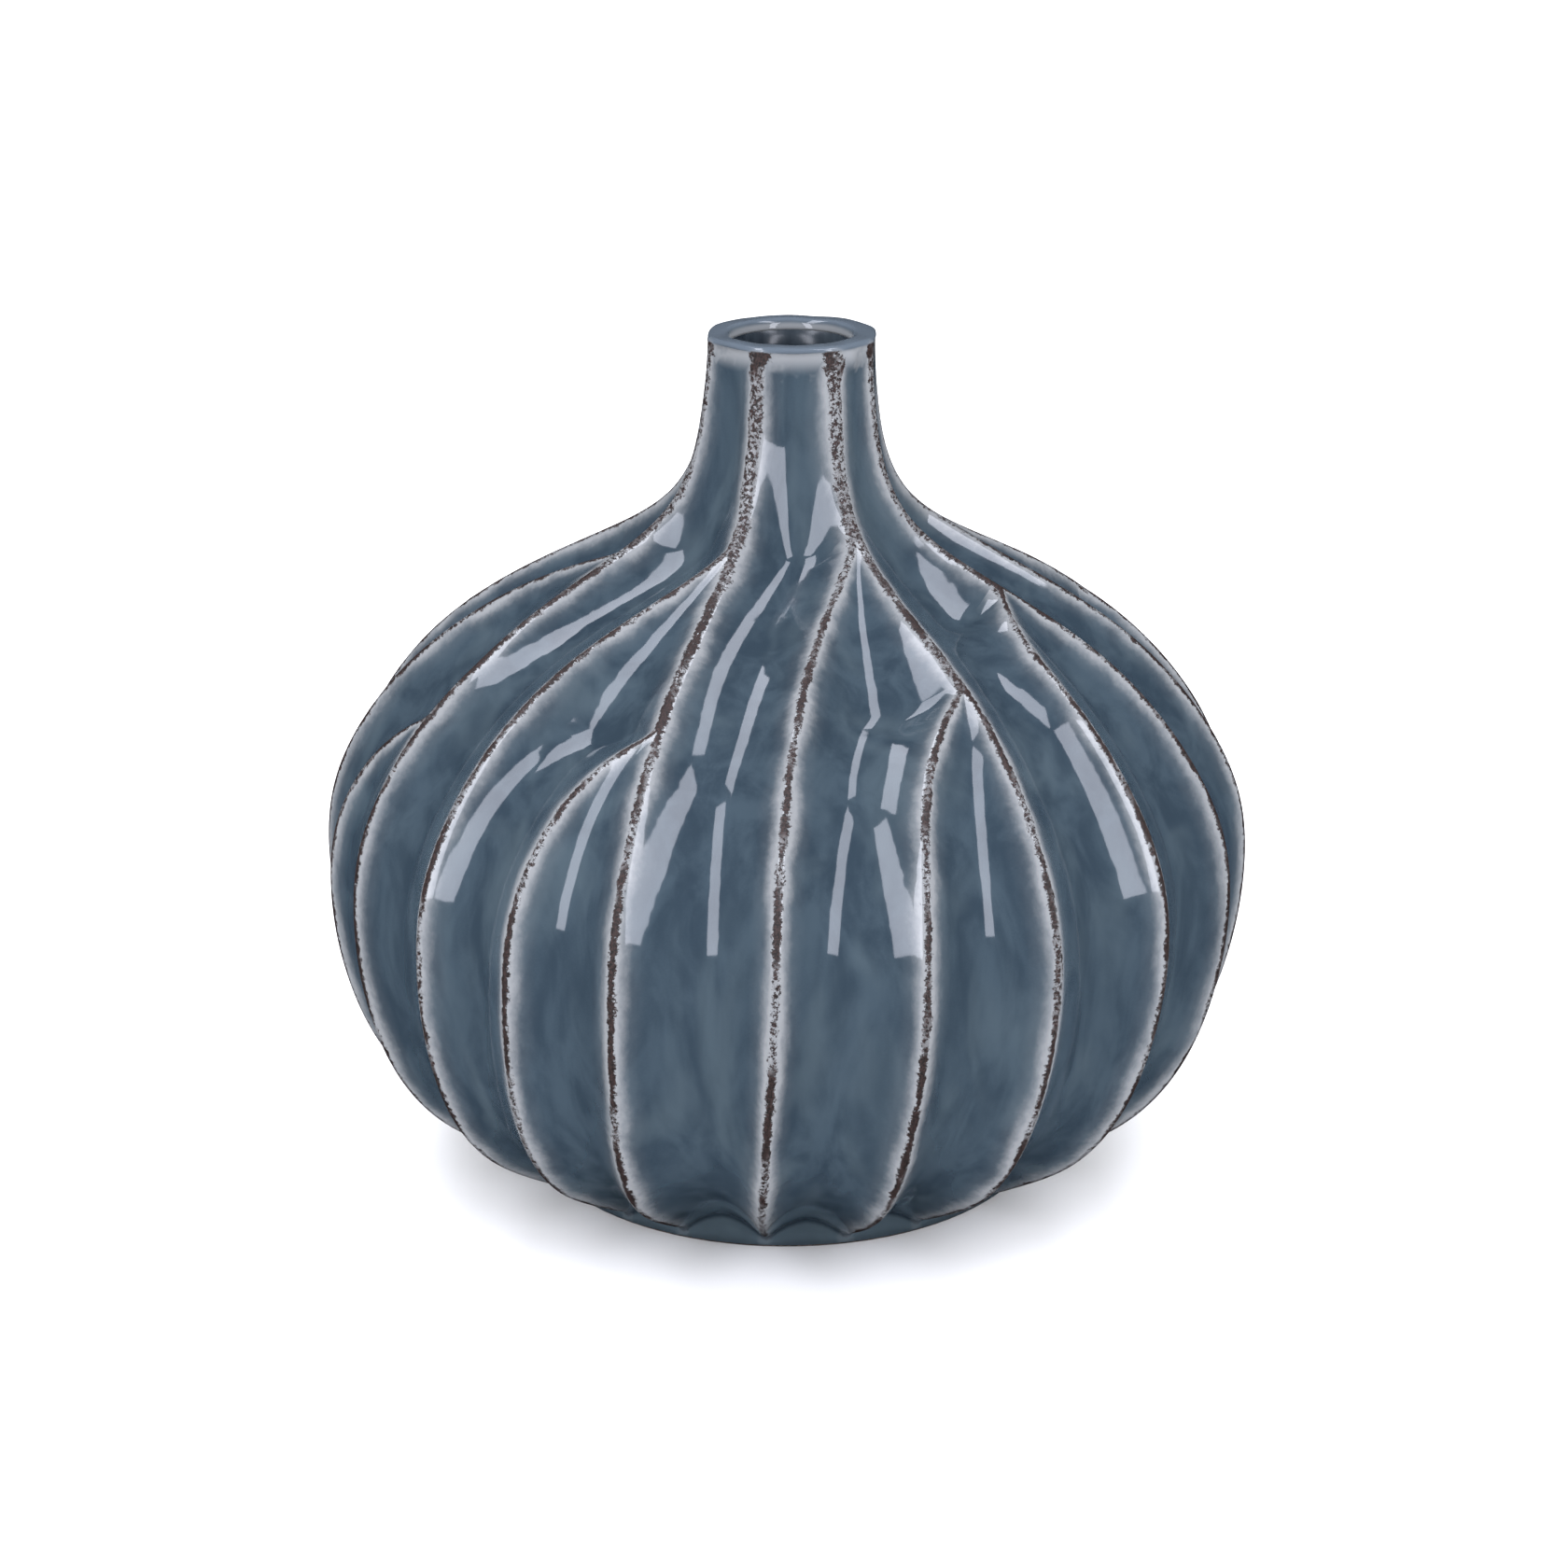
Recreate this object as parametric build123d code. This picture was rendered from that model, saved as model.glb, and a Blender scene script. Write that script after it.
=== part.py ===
from build123d import *
import os
from math import cos, exp, hypot, pi, radians, sin, tanh

# Fluted onion bud vase: a dark stoneware body, a glaze coat outside and a liner glaze inside.
# Millimetres, +Z up, origin at the middle of the foot's resting plane, front of the vase at -Y.

os.makedirs("parts", exist_ok=True)
ON_FLOOR = (Align.CENTER, Align.CENTER, Align.MIN)

# ---- whole vase
HEIGHT = 128.7  # resting plane to the crest of the lip
BELLY_R = 70.0  # over the flute crests
LIP_R = 1.0  # outer rounding of the lip
LIP_STEPS = [30, 62, 90]  # degrees round the lip

# ---- crest line of the flutes, radius and height, from the foot up to the root of the lip
CREST = [
    (37.6, 0.9),
    (47.6, 6.4),
    (56.7, 12.8),
    (63.6, 21.8),
    (68.0, 33.3),
    (BELLY_R, 46.1),
    (68.9, 59.0),
    (62.9, 71.3),
    (53.3, 81.9),
    (41.6, 89.8),
    (30.0, 95.7),
    (22.9, 99.8),
    (18.6, 103.7),
    (15.4, 109.6),
    (13.65, 117.5),
    (12.8, HEIGHT - LIP_R),
]
SECTIONS = 44  # rings the fluted skin is lofted through

# ---- foot ring
FOOT_R = 39.7
FOOT_TOP = 6.0  # hidden inside the belly
FOOT_INNER_R = 34.0
FOOT_RECESS = 2.4  # height of the floor's underside
FOOT_EDGE = 0.6  # rounding of the resting edge
GLAZE_LINE = 0.8  # bare clay below this height

# ---- hollow
MOUTH_R = 8.7  # inside of the glazed neck
MOUTH_FLARE_R = 10.0  # where the mouth's rounding meets the crest of the lip
NECK_BORE = (104.8, 126.9)  # heights between which the neck's bore is a true cylinder
THROAT = [(14.9, 96.2), (10.6, 100.3)]  # inside of the body where the shoulder closes on the neck
NECK_X = 0.75  # the bore stands upright in the middle of the leaning neck
WALL = 8.0  # body wall, measured from the crest line
WALL_SPAN = (0.035, 0.775)  # shares of the crest line that the belly's inside follows
WALL_STEPS = 12

# ---- glaze thickness
GLAZE_FLUTE = 0.7  # pooled in the flutes
GLAZE_CREST = 0.3  # thinned over the crests
GLAZE_LIP = 0.5
LIP_COAT = (113.0, 125.0)  # heights over which the coat evens out to its thickness on the lip
LINER = 0.4

# ---- flutes
FLUTE_TOOL_R = 9.5  # radius of a flute's hollow
FLUTE_LIMIT = 6.6  # the widest flutes flatten out towards this depth
FOOT_DEEPENING = 0.4  # extra depth, as a share, where the flutes run under to the foot
DEEPEN_FROM = 26.0  # height where the deepening begins
NECK_DEEPENING = 0.35  # extra depth, as a share, up the neck
NECK_SPAN = (90.0, 104.0)  # heights over which it comes in
LIP_FADING = 0.65  # share of depth lost again below the lip
FADE_SPAN = (114.0, 127.0)
MERGED_GAP = 0.45  # width left between two crests that have run together
NECK_LEAN = 0.022  # sideways lean of the neck, mm per mm above the shoulder
LEAN_FROM = 87.0

# ---- run of glaze hanging from the lip
RUN_ANGLE = 42.0
RUN_BEADS = [(11.4, 127.0, 1.15), (11.6, 125.4, 0.95)]  # radius from the neck, height, size

# ---- crests: each group leaves the lip as one crest and branches on the shoulder.
# angle on the neck, angle on the belly, then for each left-hand branch: spread in degrees,
# height where it leaves, and the distance over which it swings out.
# 0 degrees is the front (-Y), positive towards +X.
GROUPS = [
    (-69.5, -63.0, [(25.0, 97.8, 9.0), (12.0, 78.0, 9.0)]),
    (-20.3, -19.6, [(28.0, 102.2, 16.0), (14.0, 83.5, 10.0)]),
    (30.7, 32.2, [(33.6, 102.7, 15.0), (16.5, 86.9, 10.0)]),
    (66.0, 67.8, [(17.6, 93.8, 6.0)]),
    (110.9, 114.9, [(31.4, 101.7, 15.0), (15.7, 84.0, 10.0)]),
    (155.8, 162.0, [(31.4, 102.7, 14.0), (15.7, 86.0, 11.0)]),
    (200.7, 209.2, [(31.4, 101.2, 15.0), (15.7, 82.0, 10.0)]),
    (245.6, 256.3, [(31.4, 102.2, 16.0), (15.7, 85.0, 10.0)]),
]
SWING = (102.7, 83.0)  # heights between which a crest moves from its neck angle to its belly angle
FOOT_TWIST = -3.0  # degrees the crests drift by the time they reach the foot
TWIST_FROM = 49.5


def ramp(value, start, end):
    """0 before start, 1 after end, eased between them."""
    t = min(1.0, max(0.0, (value - start) / (end - start)))
    return t * t * (3 - 2 * t)


crest = Spline(CREST)


def travel(height):
    """Distance down the crest line from the lip root to a height."""
    low, high = 0.0, 1.0
    for _ in range(40):
        mid = (low + high) / 2
        low, high = (mid, high) if (crest @ mid).Y < height else (low, mid)
    return (1 - low) * crest.length


BRANCH_TRAVEL = {h: travel(h) for _, _, arms in GROUPS for _, h, _ in arms}


def crest_angles(down, radius, z):
    """Angles of all the crests on one ring, in order round the vase."""
    angles = []
    gap = MERGED_GAP / radius * 180 / pi
    for neck, belly, arms in GROUPS:
        main = neck + (belly - neck) * ramp(z, *SWING)
        if z < TWIST_FROM:
            main += FOOT_TWIST * ((TWIST_FROM - z) / TWIST_FROM) ** 1.3
        last = main
        ring = [main]
        for spread, height, swing in reversed(arms):
            run = max(0.0, down - BRANCH_TRAVEL[height])
            out = spread * (1 - exp(-run / swing))
            last = min(main - out, last - gap)
            ring.insert(0, last)
        angles += ring
    return angles


def flute_depth(width, z):
    """Depth of a flute's middle below its crests."""
    depth = FLUTE_LIMIT * tanh(width**2 / (8 * FLUTE_TOOL_R * FLUTE_LIMIT))
    share = 1 + FOOT_DEEPENING * (1 - ramp(z, 2.0, DEEPEN_FROM))
    return depth * (share + NECK_DEEPENING * ramp(z, *NECK_SPAN) - LIP_FADING * ramp(z, *FADE_SPAN))


def ring(radius, z, nr, nz, down, depth_share, at_crest, in_flute):
    """One closed ring of parabolic flutes, set inwards by the glaze thicknesses given."""
    lean = max(0.0, z - LEAN_FROM) * NECK_LEAN
    angles = crest_angles(down, radius, z)
    angles.append(angles[0] + 360)

    def point(angle, sunk):
        r = radius - sunk * nr
        return Vector(lean + r * sin(radians(angle)), -r * cos(radians(angle)), z - sunk * nz)

    edges = []
    for a, b in zip(angles, angles[1:]):
        half = radians(b - a) / 2
        depth = depth_share * flute_depth(2 * radius * half, z)
        left, right = point(a, at_crest), point(b, at_crest)
        share = min(1.0, depth / 0.6)
        middle = point((a + b) / 2, depth + at_crest + (in_flute - at_crest) * share)
        control = middle * 2 - (left + right) * 0.5
        edges.append(Edge.make_bezier(left, control, right))
    return Wire(edges)


def fluted(at_crest, in_flute, lip):
    """The closed fluted solid, set inwards from the glazed surface."""
    rings = []
    for i in range(SECTIONS):
        u = i / (SECTIONS - 1)
        p, t = crest @ u, crest % u
        # the rings at both ends are flat, so their normals are turned level
        level = min(1.0, i / 3) * min(1.0, (SECTIONS - 1 - i) / 3)
        nr, nz = t.Y, -t.X * level
        long = hypot(nr, nz)
        even = ramp(p.Y, *LIP_COAT)
        thin, thick = at_crest + (lip - at_crest) * even, in_flute + (lip - in_flute) * even
        rings.append(
            ring(p.X, p.Y, nr / long, nz / long, (1 - u) * crest.length, 1, thin, thick)
        )
    top = crest @ 1
    for step in LIP_STEPS:
        a = radians(step)
        r = top.X - LIP_R + (LIP_R - lip) * cos(a)
        z = top.Y + (LIP_R - lip) * sin(a)
        rings.append(ring(r, z, 1, 0, 0, 1 - ramp(step, 0, 90), 0, 0))
    return Solid.make_loft(rings)


def turned(outline, x=0.0):
    """A solid of revolution about an upright axis, from its outline as radius and height."""
    face = make_face(outline)
    return Pos(x, 0, 0) * revolve(Plane.XZ * face, Axis.Z, 360)


def hollow(liner):
    """The space inside the body, less a liner of the thickness given."""
    bore = MOUTH_R + LINER - liner
    first, last = WALL_SPAN
    wall = []
    for i in range(WALL_STEPS):
        u = first + (last - first) * i / (WALL_STEPS - 1)
        p, t = crest @ u, crest % u
        sunk = WALL + liner
        wall.append((p.X - sunk * t.Y, p.Y + sunk * t.X))
    low, high = NECK_BORE
    narrow = bore - NECK_X  # stays within the neck's bore, which stands a little to one side
    side = Spline(wall + [(r - liner, z) for r, z in THROAT] + [(narrow, low)])
    floor = wall[0][1]
    outline = [
        Line((0, floor), wall[0]),
        side,
        Line((narrow, low), (0, low)),
        Line((0, low), (0, floor)),
    ]
    start = THROAT[0][1]
    neck = Pos(NECK_X, 0, start) * Cylinder(bore, high - start, align=ON_FLOOR)
    return turned(outline) + neck


def mouth(bore, top):
    """The rounded opening above the bore, flaring up to the lip."""
    start = NECK_BORE[1]
    flare = MOUTH_FLARE_R - bore
    outline = [
        Line((0, start), (bore, start)),
        EllipticalCenterArc((MOUTH_FLARE_R, start), flare, top - start, start_angle=90, arc_size=90),
        Line((MOUTH_FLARE_R, top), (MOUTH_FLARE_R, top + 2)),
        Line((MOUTH_FLARE_R, top + 2), (0, top + 2)),
        Line((0, top + 2), (0, start)),
    ]
    return turned(outline, NECK_X)


# ---- clay body: fluted outside, foot ring and recess below, hollow and neck bore inside
foot = Cylinder(FOOT_R - GLAZE_CREST, FOOT_TOP, align=ON_FLOOR)
foot = fillet(foot.edges().group_by(Axis.Z)[0], FOOT_EDGE)
recess = Cylinder(FOOT_INNER_R, FOOT_RECESS, align=ON_FLOOR)
void = hollow(0.0)
clay_body = fluted(GLAZE_CREST, GLAZE_FLUTE, GLAZE_LIP) + foot
clay_body = clay_body - recess - void - mouth(MOUTH_R + LINER, HEIGHT - GLAZE_LIP)

# ---- outer glaze: from the glaze line on the foot, up over the lip to the top of the bore
band = Pos(0, 0, GLAZE_LINE) * Cylinder(FOOT_R, FOOT_TOP - GLAZE_LINE, align=ON_FLOOR)
outer_glaze = fluted(0.0, 0.0, 0.0) + band
for r, z, size in RUN_BEADS:
    lean = (z - LEAN_FROM) * NECK_LEAN
    x, y = lean + r * sin(radians(RUN_ANGLE)), -r * cos(radians(RUN_ANGLE))
    outer_glaze += Pos(x, y, z) * Sphere(size)
outer_glaze = outer_glaze - clay_body - recess - void - mouth(MOUTH_R, HEIGHT)

# ---- inner glaze: the liner of the belly and the neck
inner_glaze = void - hollow(LINER)

NODES = {"clay_body": clay_body, "outer_glaze": outer_glaze, "inner_glaze": inner_glaze}
for name, shape in NODES.items():
    export_step(shape.solid(), f"parts/{name}.step")
    print(name, round(shape.volume), len(shape.solids()), shape.is_valid)
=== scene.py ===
"""Looks of the fluted bud vase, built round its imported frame: glaze coat, liner, bare clay and studio."""
import logging
import math
from dataclasses import dataclass, field
from enum import Enum
from typing import Any, Sequence, Union

import bmesh
import bpy
import numpy as np
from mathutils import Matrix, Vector, noise


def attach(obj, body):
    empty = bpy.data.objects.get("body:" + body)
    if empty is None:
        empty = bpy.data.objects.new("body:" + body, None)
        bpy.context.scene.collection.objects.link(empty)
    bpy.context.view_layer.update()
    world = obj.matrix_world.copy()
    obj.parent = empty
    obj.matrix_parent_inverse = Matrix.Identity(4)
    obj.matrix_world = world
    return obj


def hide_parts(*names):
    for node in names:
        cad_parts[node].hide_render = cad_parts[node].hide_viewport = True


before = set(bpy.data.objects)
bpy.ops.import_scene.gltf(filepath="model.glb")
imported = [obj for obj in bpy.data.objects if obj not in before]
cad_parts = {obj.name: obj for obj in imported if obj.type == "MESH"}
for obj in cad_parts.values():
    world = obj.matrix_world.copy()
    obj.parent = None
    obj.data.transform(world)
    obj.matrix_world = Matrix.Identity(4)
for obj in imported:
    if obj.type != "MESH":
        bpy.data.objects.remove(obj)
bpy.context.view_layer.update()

LOG = logging.getLogger("bud_vase")
MM = 0.001
TINY = 1e-6
MERGE_DISTANCE = 1e-6
BODY = "root"
GLAZE_IOR = 1.52
Rgb = tuple[float, float, float]
Span = tuple[float, float]


# -------- shader expressions


class Signal:
    """A shader value that takes part in Python expressions by adding its own Math nodes."""

    def __init__(self, paint: "Paint", socket: bpy.types.NodeSocket) -> None:
        """Wraps one output socket.

        Args:
            paint: The node tree the socket belongs to.
            socket: The output socket.
        """
        self.paint = paint
        self.socket = socket

    def _math(self, operation: str, *others: "Operand", flipped: bool = False) -> "Signal":
        """Adds one Math node.

        Args:
            operation: The Math node's operation.
            *others: The other operands, values or signals.
            flipped: True if this signal is the second operand.

        Returns:
            The result.
        """
        operands = [self, *others]
        if flipped:
            operands.reverse()
        made = self.paint.node("ShaderNodeMath", {"operation": operation}, dict(enumerate(operands)))
        return Signal(self.paint, made.outputs[0])

    def __add__(self, other: "Operand") -> "Signal":
        """Sum."""
        return self._math("ADD", other)

    __radd__ = __add__

    def __sub__(self, other: "Operand") -> "Signal":
        """Difference."""
        return self._math("SUBTRACT", other)

    def __rsub__(self, other: "Operand") -> "Signal":
        """Difference with this signal taken away."""
        return self._math("SUBTRACT", other, flipped=True)

    def __mul__(self, other: "Operand") -> "Signal":
        """Product."""
        return self._math("MULTIPLY", other)

    __rmul__ = __mul__

    def __pow__(self, other: "Operand") -> "Signal":
        """Power."""
        return self._math("POWER", other)

    def at_least(self, other: "Operand") -> "Signal":
        """The larger of the two."""
        return self._math("MAXIMUM", other)

    def at_most(self, other: "Operand") -> "Signal":
        """The smaller of the two."""
        return self._math("MINIMUM", other)

    def rise(self, low: "Operand", high: "Operand") -> "Signal":
        """An eased step.

        Args:
            low: Where the result leaves 0.
            high: Where the result reaches 1. Below low, the step falls instead.

        Returns:
            The step, from 0 to 1.
        """
        made = self.paint.node(
            "ShaderNodeMapRange",
            {"interpolation_type": "SMOOTHSTEP"},
            {"Value": self, "From Min": low, "From Max": high},
        )
        return Signal(self.paint, made.outputs[0])


Operand = Union[Signal, float]


@dataclass(frozen=True)
class Pattern:
    """A fractal noise, mostly between 0.3 and 0.7.

    Attributes:
        scale: Features per unit of position.
        detail: Octaves.
        rough: How much each octave counts.
        warp: Distortion.
    """

    scale: float
    detail: float = 2.0
    rough: float = 0.5
    warp: float = 0.0


class Paint:
    """The node tree of one material or of the world, with short ways to add nodes."""

    def __init__(self, tree: bpy.types.NodeTree) -> None:
        """Empties the tree.

        Args:
            tree: The tree to fill.
        """
        self.tree = tree
        tree.nodes.clear()

    def node(self, kind: str, settings: dict[str, Any], inputs: dict[Any, Any]) -> bpy.types.Node:
        """Adds a node.

        Args:
            kind: The node's type name.
            settings: The node's properties, set before its sockets.
            inputs: Socket name or index to a value, a Signal or an output socket.

        Returns:
            The node.
        """
        made = self.tree.nodes.new(kind)
        for name, value in settings.items():
            setattr(made, name, value)
        for name, value in inputs.items():
            if isinstance(value, Signal):
                value = value.socket
            if isinstance(value, bpy.types.NodeSocket):
                self.tree.links.new(value, made.inputs[name])
            else:
                made.inputs[name].default_value = value
        return made

    def attribute(self, name: str, output: str = "Fac") -> Signal:
        """Reads one of the piece's own attributes, from the named output of its node."""
        made = self.node("ShaderNodeAttribute", {"attribute_name": name}, {})
        return Signal(self, made.outputs[output])

    def place(self) -> Signal:
        """The Object coordinates."""
        return Signal(self, self.node("ShaderNodeTexCoord", {}, {}).outputs["Object"])

    def stretched(self, where: Signal, scale: Rgb) -> Signal:
        """Scales a position axis by axis."""
        made = self.node("ShaderNodeVectorMath", {"operation": "MULTIPLY"}, {0: where, 1: scale})
        return Signal(self, made.outputs["Vector"])

    def noise(self, where: Signal, pattern: Pattern) -> Signal:
        """Fractal noise.

        Args:
            where: The position.
            pattern: Its size and character.

        Returns:
            The noise value.
        """
        inputs = {
            "Vector": where,
            "Scale": pattern.scale,
            "Detail": pattern.detail,
            "Roughness": pattern.rough,
            "Distortion": pattern.warp,
        }
        return Signal(self, self.node("ShaderNodeTexNoise", {}, inputs).outputs[0])

    def cells(self, where: Signal, scale: float) -> Signal:
        """Distance to the nearest of scattered points, scale of them per unit of position."""
        made = self.node("ShaderNodeTexVoronoi", {}, {"Vector": where, "Scale": scale})
        return Signal(self, made.outputs["Distance"])

    def mix(self, share: Operand, first: "Colour", second: "Colour") -> Signal:
        """Blends two colours.

        Args:
            share: 0 for the first, 1 for the second.
            first: A colour or a colour signal.
            second: A colour or a colour signal.

        Returns:
            The blended colour.
        """
        rgba = [c if isinstance(c, Signal) else (*c, 1.0) for c in (first, second)]
        made = self.node(
            "ShaderNodeMix", {"data_type": "RGBA"}, {"Factor": share, 6: rgba[0], 7: rgba[1]}
        )
        return Signal(self, made.outputs[2])

    def bump(self, height: Signal, depth: float, under: Signal | None = None) -> Signal:
        """Turns a height into a normal.

        Args:
            height: The height, 0 to 1.
            depth: What a height of 1 stands for, in metres.
            under: A normal this one is laid over.

        Returns:
            The normal.
        """
        inputs = {"Height": height, "Distance": depth, "Strength": 1.0}
        if under is not None:
            inputs["Normal"] = under
        return Signal(self, self.node("ShaderNodeBump", {}, inputs).outputs[0])

    def surface(self, inputs: dict[str, Any]) -> None:
        """Ends the tree in a Principled surface with these sockets."""
        shader = self.node("ShaderNodeBsdfPrincipled", {}, inputs)
        self.node("ShaderNodeOutputMaterial", {}, {"Surface": shader.outputs[0]})


Colour = Union[Signal, Rgb]


def new_material(name: str) -> tuple[bpy.types.Material, Paint]:
    """Makes an empty material.

    Args:
        name: The material's name.

    Returns:
        The material and the Paint on its nodes.
    """
    material = bpy.data.materials.new(name)
    material.use_nodes = True
    return material, Paint(material.node_tree)


# -------- finishes


@dataclass(frozen=True)
class Skin:
    """What the outer coat's attributes say about a point of it, in millimetres.

    Attributes:
        crest: Distance to the nearest crest.
        rim: Run down from the crest of the lip, negative inside the mouth.
        foot: How far the point stands out from the foot ring.
        place: Place on the vase's skin.
        drawn: The same place, drawn out along the flutes.
    """

    crest: Signal
    rim: Signal
    foot: Signal
    place: Signal
    drawn: Signal


@dataclass(frozen=True)
class BreakingGlaze:
    """Blue-grey glaze that breaks to cream beside the crests and to brown clay on them.

    Lengths are in millimetres, and a pattern's scale is in features per millimetre. A Span
    is where something starts to show and where it is complete.
    """

    # colours
    deep: Rgb = (0.021, 0.033, 0.046)
    middle: Rgb = (0.036, 0.053, 0.069)
    pale: Rgb = (0.057, 0.078, 0.093)
    # painted sheen: the lighter glaze colour on top of the lip stands in for a bright reflection there
    lip: Rgb = (0.092, 0.112, 0.138)
    # painted shade: dark glaze colour laid in the shade under the join of the flutes with the foot ring
    shaded: Rgb = (0.010, 0.015, 0.021)
    cream: Rgb = (0.205, 0.213, 0.223)
    brown: Rgb = (0.040, 0.019, 0.016)
    dark_brown: Rgb = (0.012, 0.008, 0.007)

    # how far patterns are drawn out along the flutes
    drawn: Rgb = (1.0, 1.0, 0.3)
    drawn_streaks: Rgb = (1.0, 1.0, 0.15)
    drawn_edge: Rgb = (1.0, 1.0, 0.5)

    # pooled glaze in the flutes
    grain: Pattern = Pattern(3.4, 2.0, 0.7)
    cloud: Pattern = Pattern(0.17, 3.0, 0.55, 0.6)
    streaks: Pattern = Pattern(0.6)
    cloud_weight: float = 2.2
    streak_weight: float = 0.4
    grain_weight: float = 0.25
    tone_offset: float = 0.92
    tone_step: Span = (0.1, 0.95)
    thin_patches: Pattern = Pattern(0.095, 2.0, 0.5, 0.8)
    thin_step: Span = (0.46, 0.74)
    thin_share: float = 0.5

    # foot ring and lip
    # painted light: the foot ring is lightened towards the pale glaze, standing in for light that reaches
    # it
    foot_light: Span = (-0.2, -1.0)
    foot_light_share: float = 0.7
    # painted shade: a dark band under the join of the flutes with the foot ring
    join_top: Span = (0.5, -0.1)
    join_bottom: Span = (-1.6, -0.4)
    join_shade_share: float = 0.6
    # the top of the lip: it takes a painted sheen, and the cream is kept off it
    lip_half: Span = (1.9, 1.0)
    lip_sheen_share: float = 0.8

    # cream beside the crests, and below and inside the lip
    edge_raggedness: Pattern = Pattern(1.3, 4.0, 0.6)
    edge_wander: Pattern = Pattern(0.2)
    ragged_by: float = 0.9
    wander_by: float = 2.2
    halo: Span = (2.6, 0.5)
    halo_power: float = 1.4
    halo_share: float = 0.8
    haze: Span = (4.1, 1.5)
    haze_share: float = 0.1
    bright_edge: Span = (1.25, 0.625)
    bright_share: float = 0.12
    clear_of_foot: Span = (0.2, 2.4)
    low_belly: Span = (1.0, 20.0)
    low_belly_share: float = 0.45
    lip_patches: Pattern = Pattern(0.3, 2.0, 0.6)
    patch_step: Span = (0.3, 0.52)
    patch_lift: float = 1.6
    lip_cream: Span = (6.6, 3.6)
    lip_cream_least: float = 0.6
    lip_cream_more: float = 0.3
    below_lip: Span = (1.0, 1.5)
    mouth_cream_top: Span = (-1.2, -2.2)
    mouth_cream_end: Span = (-4.4, -3.0)
    mouth_cream_share: float = 0.8
    cream_off_lip: float = 0.7

    # brown line where the glaze has broken, in whole lengths and in speckled ones
    core: float = 0.5
    core_change: Pattern = Pattern(0.4, 2.0, 0.6)
    core_change_by: float = 1.2
    neck_reach: Span = (46.0, 22.0)
    neck_widening: float = 0.08
    chip_reach: Span = (6.2, 2.8)
    chips: Pattern = Pattern(0.45, 2.0, 0.6)
    chip_step: Span = (0.3, 0.6)
    chip_size: float = 0.8
    tears: Pattern = Pattern(1.3, 4.0, 0.85)
    tear_by: float = 2.2
    core_edge: Span = (-0.05, 0.09)
    broken_from_lip: Span = (1.1, 1.5)
    broken_from_foot: Span = (1.0, 3.4)
    speckled_lengths: Pattern = Pattern(0.18, 2.0, 0.6)
    speckled_step: Span = (0.46, 0.62)
    speckled_neck: float = 0.75
    whole_chips: float = 1.6
    specks: Pattern = Pattern(1.6, 3.0, 0.8)
    speck_step: Span = (0.47, 0.53)
    speck_share: float = 0.9
    earth: Pattern = Pattern(3.8, 2.0, 0.7)
    earth_step: Span = (0.42, 0.6)

    # gloss and relief; depths are in metres
    gloss: float = 0.05
    matt_by: float = 0.5
    grain_matt_by: float = 0.02
    swell: Pattern = Pattern(0.13, 1.0, 0.4)
    swell_depth: float = 0.00007
    waves: Pattern = Pattern(0.3, 1.0, 0.4)
    wave_depth: float = 0.000024
    crumble: Pattern = Pattern(6.0, 2.0, 0.7)
    crumble_share: float = 0.8
    break_depth: float = 0.0001

    def material(self) -> bpy.types.Material:
        """Builds the material.

        Returns:
            The finished material.
        """
        material, p = new_material("breaking_glaze")
        place = p.attribute("skin", "Vector")
        drawn = p.stretched(place, self.drawn)
        skin = Skin(p.attribute("crest"), p.attribute("rim"), p.attribute("foot"), place, drawn)
        grain = p.noise(place, self.grain)

        # painted light: lightens the foot ring towards the pale glaze
        painted_foot_light = skin.foot.rise(*self.foot_light) * self.foot_light_share
        # painted shade: darkens the band under the join with the foot ring
        painted_join_shade = skin.foot.rise(*self.join_top) * skin.foot.rise(*self.join_bottom)
        glaze = p.mix(painted_foot_light, self._pooled(p, skin, grain), self.pale)
        glaze = p.mix(painted_join_shade * self.join_shade_share, glaze, self.shaded)
        # painted sheen: lightens the top of the lip
        far, near = self.lip_half
        on_lip = skin.rim.rise(far, near) * skin.rim.rise(-far, -near)
        glaze = p.mix(on_lip * self.lip_sheen_share, glaze, self.lip)
        cream = self._cream_share(p, skin) * (1 - on_lip * self.cream_off_lip)
        glaze = p.mix(cream, glaze, self.cream)
        broken = self._broken_share(p, skin)
        earth = p.mix(p.noise(place, self.earth).rise(*self.earth_step), self.dark_brown, self.brown)

        waves = p.bump(p.noise(place, self.swell), self.swell_depth)
        waves = p.bump(p.noise(place, self.waves), self.wave_depth, waves)
        crumbled = p.noise(place, self.crumble) * broken * self.crumble_share
        p.surface(
            {
                "Base Color": p.mix(broken, glaze, earth),
                "Roughness": self.gloss + broken * self.matt_by + grain * self.grain_matt_by,
                "Normal": p.bump(1 - broken + crumbled, self.break_depth, waves),
                "IOR": GLAZE_IOR,
            }
        )
        return material

    def _pooled(self, p: Paint, skin: Skin, grain: Signal) -> Signal:
        """Colour of the thick glaze in the flutes, clouded and faintly streaked along them.

        Args:
            p: The material's nodes.
            skin: The point on the coat.
            grain: Fine noise.

        Returns:
            The colour.
        """
        cloud = p.noise(skin.drawn, self.cloud) * self.cloud_weight
        streak = p.noise(p.stretched(skin.place, self.drawn_streaks), self.streaks) * self.streak_weight
        tone = (cloud + streak + grain * self.grain_weight - self.tone_offset).rise(*self.tone_step)
        thin = p.noise(skin.drawn, self.thin_patches).rise(*self.thin_step) * self.thin_share
        return p.mix(thin, p.mix(tone, self.deep, self.middle), self.pale)

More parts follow.
